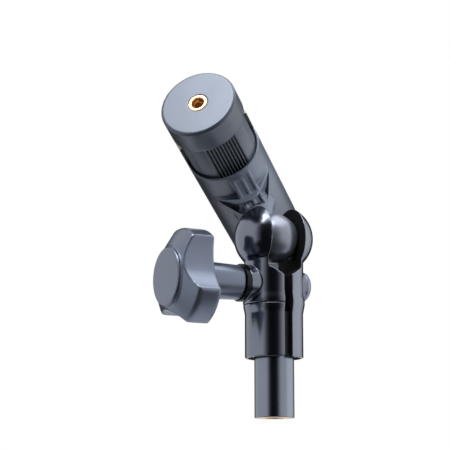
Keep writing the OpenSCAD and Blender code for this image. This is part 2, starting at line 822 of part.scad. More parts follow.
module sleeve_bush() {
    color("#1b1c1f") difference() {
        span(sleeve_bottom + bush_lip, tube_top - bush_lip) circle(bush_radius);
        span(sleeve_bottom - over, tube_top + over) circle(tube_radius + running_gap);
    }
}

module tube_thread_insert() {
    color("#b98643") difference() {
        span(0, end_insert_length) circle(tube_inner);
        span(-over, end_insert_length + over) circle(end_thread_radius);
    }
}

housing();
lower_jaw();
lower_jaw_pad();
lower_jaw_screws();
stop_screw();
spring_pin_lower();
return_spring();
slider();
jaw_head();
head_screws();
thread_insert();
upper_jaw_pad();
support_tongue();
tongue_pad();
spring_pin_upper();
ball();
clamp_half_right();
cup_liner_right();
clamp_bolt();
clamp_half_left();
cup_liner_left();
thrust_washer();
knob();
knob_insert();
knob_cap();
support_tube();
tube_top_plug();
pivot_screw();
sleeve_bush();
tube_thread_insert();
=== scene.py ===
import json
import math

import bmesh
import bpy
from mathutils import Matrix, Vector


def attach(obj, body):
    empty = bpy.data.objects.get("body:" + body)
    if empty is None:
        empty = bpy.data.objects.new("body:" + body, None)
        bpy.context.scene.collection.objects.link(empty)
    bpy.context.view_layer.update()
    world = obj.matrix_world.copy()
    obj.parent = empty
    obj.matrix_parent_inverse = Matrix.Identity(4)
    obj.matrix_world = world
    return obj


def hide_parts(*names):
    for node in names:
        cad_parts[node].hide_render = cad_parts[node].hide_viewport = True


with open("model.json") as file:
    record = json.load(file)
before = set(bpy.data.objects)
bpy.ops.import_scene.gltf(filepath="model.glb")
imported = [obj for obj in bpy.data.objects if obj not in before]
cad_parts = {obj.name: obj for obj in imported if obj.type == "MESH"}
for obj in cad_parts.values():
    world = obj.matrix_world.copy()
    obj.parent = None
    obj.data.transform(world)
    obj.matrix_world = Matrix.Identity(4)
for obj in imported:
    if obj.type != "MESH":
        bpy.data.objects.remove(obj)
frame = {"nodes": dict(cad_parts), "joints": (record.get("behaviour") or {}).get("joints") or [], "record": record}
nodes = frame["nodes"]
joints = {j["name"]: j for j in frame["joints"]}
mounts = {m["name"]: m for m in frame["record"]["mounts"]}
behaviour = frame["record"]["behaviour"]
bodyOf = {node: body for body, members in behaviour["bodies"].items() for node in members}
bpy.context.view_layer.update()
mm = 0.001
print("frame loaded with", len(nodes), "nodes")

# directions and centres of the moving groups, read from the frame's own joints and mounts
ballCentre = Vector(joints["holder_tilt"]["pos_m"])
neckDirection = Vector(joints["holder_roll"]["axis"]).normalized()
slideDirection = Vector(joints["jaw_slide"]["axis"]).normalized()
acrossDirection = neckDirection.cross(slideDirection)
neckLength = (Vector(mounts["accessory_thread"]["pos_m"]) - ballCentre).dot(neckDirection)


def placeOf(origin, across, back, along):  # a place whose X, Y and Z run along the three directions
    turn = Matrix((across, back, along)).transposed().to_4x4()
    return Matrix.Translation(origin) @ turn


holderPlace = placeOf(ballCentre + neckDirection * neckLength, acrossDirection, neckDirection, slideDirection)
rowPlace = Matrix.Identity(4)


def reach(node, place):  # lowest and highest corner of a CAD node, measured in a place of its own
    toPlace = place.inverted() @ nodes[node].matrix_world
    spots = [toPlace @ v.co for v in nodes[node].data.vertices]
    return [Vector([pick(s[i] for s in spots) for i in range(3)]) for pick in (min, max)]


def hexToLinear(hexColour):  # "#rrggbb" as painted on a screen, to the linear colour that a shader takes
    channels = [int(hexColour[i:i + 2], 16) / 255 for i in (1, 3, 5)]
    return [c / 12.92 if c <= 0.04045 else ((c + 0.055) / 1.055) ** 2.4 for c in channels] + [1.0]


def addNode(tree, kind, settings=None, values=None, links=None):  # one node, its settings, values and links
    node = tree.nodes.new(kind)
    for name, value in (settings or {}).items():
        setattr(node, name, value)
    for socket, value in (values or {}).items():
        node.inputs[socket].default_value = value
    for socket, source in (links or {}).items():
        tree.links.new(source, node.inputs[socket])
    return node


def newMaterial(name, shader):  # a material with its principled shader's own sockets set
    material = bpy.data.materials.new(name)
    material.use_nodes = True
    tree = material.node_tree
    principled = tree.nodes["Principled BSDF"]
    for socket, value in shader.items():
        principled.inputs[socket].default_value = value
    return material, tree, principled


# noise that all finishes share, and the part of its range that the change of gloss follows
finishNoise = {"grain": {"Detail": 3.0, "Roughness": 0.55}, "coatPatches": {"Detail": 4.0, "Roughness": 0.6},
               "turnedPatches": {"Detail": 3.0}, "glossFrom": 0.3, "glossTo": 0.7}


def patchyTone(tree, principled, place, colour, patchMm, noise):
    # a faint change of tone over patches of some millimetres, as every real coat and plating has
    patches = addNode(tree, "ShaderNodeTexNoise", values={"Scale": 1 / (patchMm * mm), **noise},
                      links={"Vector": place}).outputs["Fac"]
    tone = addNode(tree, "ShaderNodeMix", {"data_type": "RGBA"},
                   {6: hexToLinear(colour["low"]), 7: hexToLinear(colour["high"])}, {0: patches})
    tree.links.new(tone.outputs[2], principled.inputs["Base Color"])
    return patches


def grainedMaterial(name, colour, shader, grain):
    # moulded and coated skins: a fine bump of real grain size, and a faint change of tone and gloss
    material, tree, principled = newMaterial(name, shader)
    place = addNode(tree, "ShaderNodeTexCoord").outputs["Object"]
    fine = addNode(tree, "ShaderNodeTexNoise", values={"Scale": 1 / (grain["sizeMm"] * mm), **finishNoise["grain"]},
                   links={"Vector": place})
    bump = addNode(tree, "ShaderNodeBump", links={"Height": fine.outputs["Fac"]},
                   values={"Strength": grain["strength"], "Distance": grain["heightMm"] * mm})
    tree.links.new(bump.outputs["Normal"], principled.inputs["Normal"])
    patches = patchyTone(tree, principled, place, colour, grain["patchMm"], finishNoise["coatPatches"])
    gloss = addNode(tree, "ShaderNodeMapRange", links={"Value": patches},
                    values={"From Min": finishNoise["glossFrom"], "From Max": finishNoise["glossTo"],
                            "To Min": shader["Roughness"] - grain["glossChange"],
                            "To Max": shader["Roughness"] + grain["glossChange"]})
    tree.links.new(gloss.outputs["Result"], principled.inputs["Roughness"])
    return material


def turnedMaterial(name, colour, shader, turning):
    # lathe-cut metal: fine rings across the axis that the piece was turned on, over the same tone change
    material, tree, principled = newMaterial(name, shader)
    place = addNode(tree, "ShaderNodeTexCoord").outputs["Object"]
    axis = Vector(turning["axis"]).normalized()
    level = addNode(tree, "ShaderNodeVectorMath", {"operation": "DOT_PRODUCT"}, {1: axis}, {0: place})
    rings = addNode(tree, "ShaderNodeMath", {"operation": "MULTIPLY"}, {1: 2 * math.pi / (turning["pitchMm"] * mm)},
                    {0: level.outputs["Value"]})
    wave = addNode(tree, "ShaderNodeMath", {"operation": "SINE"}, links={0: rings.outputs[0]})
    bump = addNode(tree, "ShaderNodeBump", links={"Height": wave.outputs[0]},
                   values={"Strength": turning["strength"], "Distance": turning["heightMm"] * mm})
    tree.links.new(bump.outputs["Normal"], principled.inputs["Normal"])
    patchyTone(tree, principled, place, colour, turning["patchMm"], finishNoise["turnedPatches"])
    return material


# satin powder coat over die-cast zinc: dark grey that lifts to silver where it meets the light
powderCoat = grainedMaterial("satinPowderCoat", {"low": "#474d58", "high": "#505763"},
                             {"Roughness": 0.32, "Metallic": 0.5, "IOR": 1.5},
                             {"sizeMm": 0.35, "heightMm": 0.02, "strength": 0.3, "patchMm": 9, "glossChange": 0.03})
# moulded nylon of the slider under a metallic paint: a finer grain, as dark as the coat beside it
slideNylon = grainedMaterial("mouldedNylon", {"low": "#434953", "high": "#4c535e"},
                             {"Roughness": 0.42, "Metallic": 0.55, "IOR": 1.53},
                             {"sizeMm": 0.25, "heightMm": 0.015, "strength": 0.3, "patchMm": 8, "glossChange": 0.03})
# painted shade: dark matt paint on the groove floors between the grip ribs, where shade falls
grooveShadePaint = grainedMaterial("grooveShadePaint", {"low": "#0b0d10", "high": "#12151a"},
                             {"Roughness": 0.6, "IOR": 1.52},
                             {"sizeMm": 0.3, "heightMm": 0.02, "strength": 0.4, "patchMm": 6, "glossChange": 0.04})
# black-nickel-plated zinc casting of the clamp: a dark mirror, softly blurred
blackNickel = grainedMaterial("blackNickelCasting", {"low": "#6d727e", "high": "#777c89"},
                              {"Roughness": 0.2, "Metallic": 1.0},
                              {"sizeMm": 2.5, "heightMm": 0.02, "strength": 0.1, "patchMm": 14, "glossChange": 0.02})
# painted shade: the inside of the same castings, painted near-black and matt where shade falls
shadeInsideCasting = grainedMaterial("paintedShadeCasting", {"low": "#0c0d10", "high": "#131418"},
                             {"Roughness": 0.85, "IOR": 1.5, "Specular IOR Level": 0.2},
                             {"sizeMm": 0.4, "heightMm": 0.02, "strength": 0.4, "patchMm": 6, "glossChange": 0.04})
# satin-plated steel ball: a blurred, lighter grey mirror
ballPlate = grainedMaterial("satinBall", {"low": "#757a86", "high": "#808591"},
                            {"Roughness": 0.34, "Metallic": 0.9, "IOR": 1.5},
                            {"sizeMm": 0.6, "heightMm": 0.006, "strength": 0.2, "patchMm": 8, "glossChange": 0.02})
# soft-touch ABS of the knob under a blue-grey metallic paint: a broad soft sheen
knobPlastic = grainedMaterial("softTouchKnob", {"low": "#666e7e", "high": "#6f7788"},
                              {"Roughness": 0.3, "Metallic": 0.75, "IOR": 1.5},
                              {"sizeMm": 0.3, "heightMm": 0.012, "strength": 0.2, "patchMm": 10, "glossChange": 0.03})
# black-nickel-plated tube, turned and softly blurred along its length
tubeFinish = turnedMaterial("blackNickelTube", {"low": "#767c89", "high": "#808693"},
                            {"Roughness": 0.22, "Metallic": 1.0},
                            {"axis": (0, 0, 1), "pitchMm": 0.12, "heightMm": 0.002, "strength": 0.2, "patchMm": 18})
# cream silicone of the jaw pads: pale, matt and a little see-through at its rims
creamSilicone = grainedMaterial("creamSilicone", {"low": "#dadab8", "high": "#e4e4c6"},
                                {"Roughness": 0.5, "IOR": 1.41, "Subsurface Weight": 0.2,
                                 "Subsurface Scale": 0.002},
                                {"sizeMm": 0.5, "heightMm": 0.02, "strength": 0.3, "patchMm": 6, "glossChange": 0.04})
# black rubber of the rest pad, and the moulded black plate that carries it: matt against a faint gloss
blackRubber = grainedMaterial("blackRubber", {"low": "#141517", "high": "#1b1c1f"},
                              {"Roughness": 0.65, "IOR": 1.52},
                              {"sizeMm": 0.4, "heightMm": 0.03, "strength": 0.5, "patchMm": 6, "glossChange": 0.05})
blackMoulding = grainedMaterial("blackMoulding", {"low": "#07090c", "high": "#0c0f13"},
                                {"Roughness": 0.45, "IOR": 1.5},
                                {"sizeMm": 0.3, "heightMm": 0.015, "strength": 0.3, "patchMm": 6, "glossChange": 0.04})
# turned brass, bright on its rim
turnedBrass = turnedMaterial("turnedBrass", {"low": "#e6b67c", "high": "#f2cd9c"},
                             {"Roughness": 0.4, "Metallic": 1.0},
                             {"axis": slideDirection, "pitchMm": 0.1, "heightMm": 0.003, "strength": 0.3, "patchMm": 3})
# blackened screw steel, blue-passivated steel and bright zinc-plated steel: three glosses of small hardware
blackenedSteel = grainedMaterial("blackenedSteel", {"low": "#202226", "high": "#2b2d32"},
                                 {"Roughness": 0.27, "Metallic": 0.9},
                                 {"sizeMm": 0.3, "heightMm": 0.01, "strength": 0.2, "patchMm": 4, "glossChange": 0.04})
passivatedSteel = grainedMaterial("passivatedSteel", {"low": "#74788a", "high": "#80849a"},
                                  {"Roughness": 0.32, "Metallic": 1.0},
                                  {"sizeMm": 0.3, "heightMm": 0.008, "strength": 0.2, "patchMm": 5,
                                   "glossChange": 0.04})
platedSteel = grainedMaterial("platedSteel", {"low": "#9da0a5", "high": "#b4b7bb"},
                              {"Roughness": 0.28, "Metallic": 1.0},
                              {"sizeMm": 0.2, "heightMm": 0.008, "strength": 0.2, "patchMm": 4, "glossChange": 0.05})
# black acetal of the bush and the plug: smooth and waxy; on the cup liners it is painted shade for the dark gap round
# the ball
blackAcetal = grainedMaterial("blackAcetal", {"low": "#121316", "high": "#17181b"},
                              {"Roughness": 0.45, "IOR": 1.48},
                              {"sizeMm": 0.4, "heightMm": 0.01, "strength": 0.2, "patchMm": 5, "glossChange": 0.04})


nodeMaterials = {
    "housing": powderCoat, "lower_jaw": powderCoat, "jaw_head": powderCoat, "slider": slideNylon,
    "ball": ballPlate, "clamp_half_right": blackNickel, "clamp_half_left": blackNickel,
    "knob": knobPlastic, "knob_cap": knobPlastic, "support_tube": tubeFinish,
    "lower_jaw_pad": creamSilicone, "upper_jaw_pad": creamSilicone, "tongue_pad": blackRubber,
    "support_tongue": blackMoulding, "thread_insert": turnedBrass, "knob_insert": turnedBrass,
    "tube_thread_insert": turnedBrass, "clamp_bolt": passivatedSteel, "lower_jaw_screws": blackenedSteel,
    "stop_screw": blackenedSteel, "head_screws": blackenedSteel, "pivot_screw": blackenedSteel,
    "thrust_washer": blackenedSteel, "spring_pin_lower": platedSteel, "spring_pin_upper": platedSteel,
    # painted shade: the cup liners take the black acetal so that the gap round the ball stays dark
    "return_spring": platedSteel, "cup_liner_right": blackAcetal, "cup_liner_left": blackAcetal,
    "tube_top_plug": blackAcetal, "sleeve_bush": blackAcetal}
for name, material in nodeMaterials.items():
    nodes[name].data.materials.clear()
    nodes[name].data.materials.append(material)
print("materials made", len(bpy.data.materials))


def newPiece(name, mesh, material):
    piece = bpy.data.objects.new(name, mesh)
    bpy.context.collection.objects.link(piece)
    mesh.materials.clear()
    mesh.materials.append(material)
    return piece


def bakeModifiers(piece):  # the evaluated mesh takes the place of the mesh with live modifiers
    baked = bpy.data.meshes.new_from_object(piece.evaluated_get(bpy.context.evaluated_depsgraph_get()))
    piece.modifiers.clear()
    piece.data = baked


def fit(piece, body, stands):  # the piece rides on its body and stands for its CAD nodes
    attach(piece, body)
    if stands:
        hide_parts(*stands)
    return piece


# how the skins are finished: how strongly they are smoothed, and which edges stay sharp
skinSizes = {"soften": 0.5, "edgeSegments": 2, "edgeDegrees": 35, "turnedDegrees": 40, "joinDistance": 1e-6,
             "poleDistance": 1e-7, "turnedSegments": 96, "roundSteps": 4}


def mergedCopy(node):  # a copy of a CAD node's mesh in the row frame, with its doubled points joined
    mesh = nodes[node].data.copy()
    mesh.transform(nodes[node].matrix_world)
    bm = bmesh.new()
    bm.from_mesh(mesh)
    bmesh.ops.remove_doubles(bm, verts=bm.verts, dist=skinSizes["joinDistance"])
    bmesh.ops.recalc_face_normals(bm, faces=bm.faces)
    bm.to_mesh(mesh)
    bm.free()
    return mesh


def castSkin(node, sizes, place=rowPlace):
    # a casting with soft edges: remeshed in small cells along its own place, then smoothed into its fillets
    mesh = mergedCopy(node)
    mesh.transform(place.inverted())
    piece = newPiece(node + "Skin", mesh, nodeMaterials[node])
    cells = piece.modifiers.new("cells", "REMESH")
    cells.mode = "VOXEL"
    cells.voxel_size = sizes["cellMm"] * mm
    soften = piece.modifiers.new("soften", "SMOOTH")
    soften.factor = skinSizes["soften"]
    soften.iterations = sizes["smoothSteps"]
    if "keptShare" in sizes:
        fewer = piece.modifiers.new("fewer", "DECIMATE")
        fewer.ratio = sizes["keptShare"]
    bakeModifiers(piece)
    piece.data.transform(place)
    piece.data.shade_smooth()
    return fit(piece, bodyOf[node], [node])


def edgedCopy(node, edgeMm):  # a machined or moulded piece whose sharp edges get a small round
    piece = newPiece(node + "Edged", mergedCopy(node), nodeMaterials[node])
    bevel = piece.modifiers.new("edges", "BEVEL")
    bevel.width = edgeMm * mm
    bevel.segments = skinSizes["edgeSegments"]
    bevel.limit_method = "ANGLE"
    bevel.angle_limit = math.radians(skinSizes["edgeDegrees"])
    bakeModifiers(piece)
    piece.data.shade_smooth()
    piece.data.set_sharp_from_angle(angle=math.radians(skinSizes["edgeDegrees"]))
    return fit(piece, bodyOf[node], [node])


def turnedPiece(name, outline, place, material, segments=skinSizes["turnedSegments"]):
    # a ring or disc turned about the place's own Z, from a closed outline of radius and level in millimetres
    bm = bmesh.new()
    turns = [2 * math.pi * i / segments for i in range(segments)]
    rings = [[bm.verts.new((radius * math.cos(a) * mm, radius * math.sin(a) * mm, level * mm)) for a in turns]
             for radius, level in outline]
    for low, high in zip(rings, rings[1:] + rings[:1]):
        for i in range(segments):
            j = (i + 1) % segments
            bm.faces.new((low[i], low[j], high[j], high[i]))
    bmesh.ops.remove_doubles(bm, verts=bm.verts, dist=skinSizes["poleDistance"])
    bmesh.ops.dissolve_degenerate(bm, edges=bm.edges, dist=skinSizes["poleDistance"])
    bmesh.ops.recalc_face_normals(bm, faces=bm.faces)
    mesh = bpy.data.meshes.new(name)
    bm.to_mesh(mesh)
    bm.free()
    mesh.transform(place)
    piece = newPiece(name, mesh, material)
    mesh.shade_smooth()
    mesh.set_sharp_from_angle(angle=math.radians(skinSizes["turnedDegrees"]))
    return piece


def roundedOutline(corners, rounds):  # a closed outline, each corner rounded by its own radius
    outline, steps = [], skinSizes["roundSteps"]
    for i, (corner, radius) in enumerate(zip(corners, rounds)):
        here = Vector(corner)
        before, after = Vector(corners[i - 1]) - here, Vector(corners[(i + 1) % len(corners)]) - here
        start, end = here + before.normalized() * radius, here + after.normalized() * radius
        for step in range(steps + 1):
            t = step / steps
            outline.append(tuple((1 - t) ** 2 * start + 2 * t * (1 - t) * here + t ** 2 * end))
    return outline


def newTree(name, inputs):  # a geometry tree with named inputs
    tree = bpy.data.node_groups.new(name, "GeometryNodeTree")
    tree.interface.new_socket("Geometry", in_out="OUTPUT", socket_type="NodeSocketGeometry")
    for label, kind in inputs:
        tree.interface.new_socket(label, in_out="INPUT", socket_type=kind)
    start = tree.nodes.new("NodeGroupInput")
    return tree, start.outputs


def grown(name, tree, lastGeometry, values, place, body):
    # the tree's shape made solid, given its material, and baked to one plain mesh on its body
    solid = addNode(tree, "GeometryNodeRealizeInstances", links={"Geometry": lastGeometry})
    painted = addNode(tree, "GeometryNodeSetMaterial", links={"Geometry": solid.outputs["Geometry"]})
    tree.interface.new_socket("Material", in_out="INPUT", socket_type="NodeSocketMaterial")
    start = next(n for n in tree.nodes if n.bl_idname == "NodeGroupInput")
    tree.links.new(start.outputs["Material"], painted.inputs["Material"])
    end = tree.nodes.new("NodeGroupOutput")
    tree.links.new(painted.outputs["Geometry"], end.inputs["Geometry"])
    piece = bpy.data.objects.new(name, bpy.data.meshes.new(name))
    bpy.context.collection.objects.link(piece)
    sockets = {s.name: s.identifier for s in tree.interface.items_tree if s.in_out == "INPUT"}
    builder = piece.modifiers.new("builder", "NODES")
    builder.node_group = tree
    for label, value in values.items():
        builder[sockets[label]] = value
    bakeModifiers(piece)
    piece.data.transform(place)
    piece.data.shade_smooth()
    piece.data.set_sharp_from_angle(angle=math.radians(skinSizes["turnedDegrees"]))
    fit(piece, body, [])


def threadRidge(name, sizes, place, material, body):
    # a screw thread: a spiral with a section of few sides swept along it
    tree, given = newTree(name + "Tree", [("Radius", "NodeSocketFloat"), ("Length", "NodeSocketFloat"),
                                          ("Turns", "NodeSocketFloat"), ("Ridge", "NodeSocketFloat")])
    spiral = addNode(tree, "GeometryNodeCurveSpiral", values={"Resolution": sizes["perTurn"]},
                     links={"Start Radius": given["Radius"], "End Radius": given["Radius"],
                            "Height": given["Length"], "Rotations": given["Turns"]})
    section = addNode(tree, "GeometryNodeCurvePrimitiveCircle", values={"Resolution": sizes["sides"]},
                      links={"Radius": given["Ridge"]})
    swept = addNode(tree, "GeometryNodeCurveToMesh", values={"Fill Caps": True},
                    links={"Curve": spiral.outputs["Curve"], "Profile Curve": section.outputs["Curve"]})
    values = {"Radius": sizes["radiusMm"] * mm, "Length": sizes["lengthMm"] * mm,
              "Turns": sizes["lengthMm"] / sizes["pitchMm"], "Ridge": sizes["ridgeMm"] * mm, "Material": material}
    grown(name, tree, swept.outputs["Mesh"], values, place, body)


def ribRow(name, sizes, place, material, body):
    # a row of long round-topped ribs, each one a rod whose radius falls away at its ends
    tree, given = newTree(name + "Tree", [("Count", "NodeSocketInt"), ("Pitch", "NodeSocketFloat"),
                                          ("Length", "NodeSocketFloat"), ("Half Width", "NodeSocketFloat")])
    reachVector = addNode(tree, "ShaderNodeCombineXYZ", links={"Z": given["Length"]})
    rod = addNode(tree, "GeometryNodeCurvePrimitiveLine", links={"End": reachVector.outputs["Vector"]})
    split = addNode(tree, "GeometryNodeResampleCurve", values={"Count": sizes["points"]},
                    links={"Curve": rod.outputs["Curve"]})
    along = addNode(tree, "GeometryNodeSplineParameter")
    centred = addNode(tree, "ShaderNodeMapRange", values={"To Min": -1.0, "To Max": 1.0},
                      links={"Value": along.outputs["Factor"]})
    power = addNode(tree, "ShaderNodeMath", {"operation": "POWER"}, {1: sizes["endPower"]},
                    {0: centred.outputs["Result"]})
    left = addNode(tree, "ShaderNodeMath", {"operation": "SUBTRACT"}, {0: 1.0}, {1: power.outputs[0]})
    taper = addNode(tree, "ShaderNodeMath", {"operation": "SQRT"}, links={0: left.outputs[0]})
    tapered = addNode(tree, "GeometryNodeSetCurveRadius", links={"Curve": split.outputs["Curve"],
                      "Radius": taper.outputs[0]})
    section = addNode(tree, "GeometryNodeCurvePrimitiveCircle", values={"Resolution": sizes["sides"]},
                      links={"Radius": given["Half Width"]})
    bar = addNode(tree, "GeometryNodeCurveToMesh", links={"Curve": tapered.outputs["Curve"],
                  "Profile Curve": section.outputs["Curve"]})
    step = addNode(tree, "ShaderNodeCombineXYZ", links={"X": given["Pitch"]})
    row = addNode(tree, "GeometryNodeMeshLine", links={"Count": given["Count"], "Offset": step.outputs["Vector"]})
    ribs = addNode(tree, "GeometryNodeInstanceOnPoints", links={"Points": row.outputs["Mesh"],
                   "Instance": bar.outputs["Mesh"]})
    values = {"Count": sizes["count"], "Pitch": sizes["pitchMm"] * mm, "Length": sizes["lengthMm"] * mm,
              "Half Width": sizes["halfWidthMm"] * mm, "Material": material}
    grown(name, tree, ribs.outputs["Instances"], values, place, body)


def shifted(place, x, y, z):  # the same directions, moved in millimetres along them
    return place @ Matrix.Translation(Vector((x, y, z)) * mm)


# jaw: head, slider with its grip ribs, brass camera socket, pale pad and black tongue
jawSizes = {"head": {"cellMm": 0.24, "smoothSteps": 5}, "pad": {"cellMm": 0.25, "smoothSteps": 4},
            "tongue": {"cellMm": 0.32, "smoothSteps": 4}, "sliderEdgeMm": 0.15}
gripSizes = {"count": 9, "pitchMm": 1.38, "lengthMm": 53.6, "halfWidthMm": 0.33, "points": 28, "sides": 12,
             "endPower": 24.0, "flatMm": -12.52, "sunkMm": 0.12, "footMm": -7.5, "grooveHalfMm": 6.95,
             "grooveFloorMm": -11.7}  # the ribs sit a little into the flat, and the grooves reach down to a floor
socketSizes = {"boreMm": 2.6, "edgeMm": 0.25, "mouthEdgeMm": 0.45, "threadStartMm": 0.2,
               "thread": {"perTurn": 48, "sides": 3, "radiusMm": 2.72, "lengthMm": 7.4, "pitchMm": 1.27,
                          "ridgeMm": 0.34}}


def makeJaw():
    castSkin("jaw_head", jawSizes["head"], holderPlace)
    castSkin("upper_jaw_pad", jawSizes["pad"], holderPlace)
    castSkin("support_tongue", jawSizes["tongue"], holderPlace)
    slider = edgedCopy("slider", jawSizes["sliderEdgeMm"])
    slider.data.materials.append(grooveShadePaint)
    ribLevel, toHolder = gripSizes["flatMm"] + gripSizes["sunkMm"], holderPlace.inverted()
    # painted shade: the groove floors between the ribs take the dark paint
    for face in slider.data.polygons:  # the grooves between the ribs are dark
        across, back = (toHolder @ face.center).xy / mm
        if abs(across) < gripSizes["grooveHalfMm"] and ribLevel < back < gripSizes["grooveFloorMm"]:
            face.material_index = 1
    firstRib = -gripSizes["pitchMm"] * (gripSizes["count"] - 1) / 2
    ribRow("gripRibs", gripSizes, shifted(holderPlace, firstRib, ribLevel, gripSizes["footMm"]), slideNylon, "jaw")
    low, high = reach("thread_insert", holderPlace)
    inner, outer = socketSizes["boreMm"], (high.x - low.x) / mm / 2
    bottom, top = low.z / mm, high.z / mm
    corners = [(inner, bottom), (outer, bottom), (outer, top), (inner, top)]
    rounds = [socketSizes["edgeMm"]] * 3 + [socketSizes["mouthEdgeMm"]]
    socket = turnedPiece("cameraSocket", roundedOutline(corners, rounds), holderPlace, turnedBrass)
    fit(socket, "jaw", ["thread_insert"])
    threadRidge("cameraSocketThread", socketSizes["thread"],
                shifted(holderPlace, 0, 0, bottom + socketSizes["threadStartMm"]), turnedBrass, "jaw")
    print("jaw made")


makeJaw()

# holder: the cast body with its neck, ribs and wings, and the lower jaw
holderSizes = {"housing": {"cellMm": 0.28, "smoothSteps": 4, "keptShare": 0.4},
               "lowerJaw": {"cellMm": 0.4, "smoothSteps": 4}, "pad": {"cellMm": 0.3, "smoothSteps": 4}}


def makeHolder():
    castSkin("housing", holderSizes["housing"], holderPlace)
    castSkin("lower_jaw", holderSizes["lowerJaw"], holderPlace)
    castSkin("lower_jaw_pad", holderSizes["pad"], holderPlace)
    print("holder made")


makeHolder()

# clamp: two halves with a fine parting line, the domed bolt, the washer, the knob and its cap
clampSizes = {"halves": {"cellMm": 0.3, "smoothSteps": 8}, "bolt": {"cellMm": 0.22, "smoothSteps": 4},
              "washer": {"cellMm": 0.16, "smoothSteps": 3}, "knob": {"cellMm": 0.3, "smoothSteps": 44},
              "cap": {"cellMm": 0.2, "smoothSteps": 24}}
ridgeSizes = {"ridgeMm": 12.9, "bodyMm": 12.4, "marginMm": 0.35, "topMm": 48.1, "fadeMm": 3.4}
insideSizes = {"cupMm": 12.2, "slotMm": 1.85, "windowMm": 7.55, "boreMm": 11.2, "funnelFootMm": 57.3,
               "funnelSlope": 0.64, "facing": 0.85}


def easeRidge(casting):  # the ridge over the sleeve runs out into the body in a long soft fillet
    ridge, body = ridgeSizes["ridgeMm"], ridgeSizes["bodyMm"]
    for vertex in casting.data.vertices:
        out = math.hypot(vertex.co.x, vertex.co.y) / mm
        fall = (vertex.co.z / mm - ridgeSizes["topMm"]) / ridgeSizes["fadeMm"]
        if 0 < fall < 1 and body - ridgeSizes["marginMm"] < out < ridge:
            wanted = ridge - (ridge - body) * fall * fall * (3 - 2 * fall)
            if wanted > out:
                vertex.co.xy *= wanted / out


# painted shade: cup, window, slot, bore and the walls that face the middle are painted near-black, where shade falls
# inside the clamp
def paintShadeInside(casting):  # cup, window, slot and bore stay as cast and are painted black
    casting.data.materials.append(shadeInsideCasting)
    for face in casting.data.polygons:
        across, level = abs(face.center.x) / mm, face.center.z / mm
        funnelLevel = insideSizes["funnelFootMm"] + insideSizes["funnelSlope"] * across
        inCup = (face.center - ballCentre).length / mm < insideSizes["cupMm"]
        inBore = math.hypot(face.center.x, face.center.y) / mm < insideSizes["boreMm"]
        inWindow = across < insideSizes["windowMm"] and level > funnelLevel
        facesMiddle = face.normal.x * face.center.x < 0 and abs(face.normal.x) > insideSizes["facing"]
        if inCup or inBore or inWindow or facesMiddle or across < insideSizes["slotMm"]:
            face.material_index = 1


def makeClamp():
    for half in ("clamp_half_right", "clamp_half_left"):
        casting = castSkin(half, clampSizes["halves"])
        easeRidge(casting)
        paintShadeInside(casting)
    castSkin("clamp_bolt", clampSizes["bolt"])
    castSkin("knob", clampSizes["knob"])
    castSkin("knob_cap", clampSizes["cap"])
    castSkin("thrust_washer", clampSizes["washer"])
    print("clamp made")


makeClamp()

# tube: turned and plated, with the thread of its lower end
tubeSizes = {"edgeMm": 0.4, "wallMm": 1.5, "segments": 128, "threadStartMm": 0.5,
             "thread": {"perTurn": 48, "sides": 3, "radiusMm": 4.1, "lengthMm": 11, "pitchMm": 1.5875,
                        "ridgeMm": 0.36}}


def makeTube():
    high = reach("support_tube", rowPlace)[1]
    outer, inner, top = high.x / mm, high.x / mm - tubeSizes["wallMm"], high.z / mm
    corners = [(inner, 0), (outer, 0), (outer, top), (inner, top)]
    outline = roundedOutline(corners, [tubeSizes["edgeMm"]] * 4)
    tube = turnedPiece("turnedTube", outline, rowPlace, tubeFinish, tubeSizes["segments"])
    fit(tube, "support", ["support_tube"])
    threadRidge("tubeEndThread", tubeSizes["thread"], shifted(rowPlace, 0, 0, tubeSizes["threadStartMm"]),
                turnedBrass, "support")
    print("tube made")


makeTube()

# floor: pale to the eye, greyer in the light that it throws back up, and gone toward its rim and from below
floorSizes = {"drop": 0.2, "radius": 1.4, "fadeStart": 0.25, "fadeEnd": 0.9, "bounce": "#a4a5a8", "seen": "#f1f2f4"}


def stageMaterial(name):  # a material with an empty tree, for what isn't part of the object
    material = bpy.data.materials.new(name)
    material.use_nodes = True
    material.node_tree.nodes.clear()
    return material, material.node_tree


def paintStage(stagePiece, material, paint, clearShare):  # the floor's or a card's paint, thinned to nothing
    tree = material.node_tree
    clear = addNode(tree, "ShaderNodeBsdfTransparent")
    mix = addNode(tree, "ShaderNodeMixShader", links={0: clearShare, 1: paint.outputs[0], 2: clear.outputs[0]})
    addNode(tree, "ShaderNodeOutputMaterial", links={"Surface": mix.outputs[0]})
    stagePiece.data.materials.append(material)


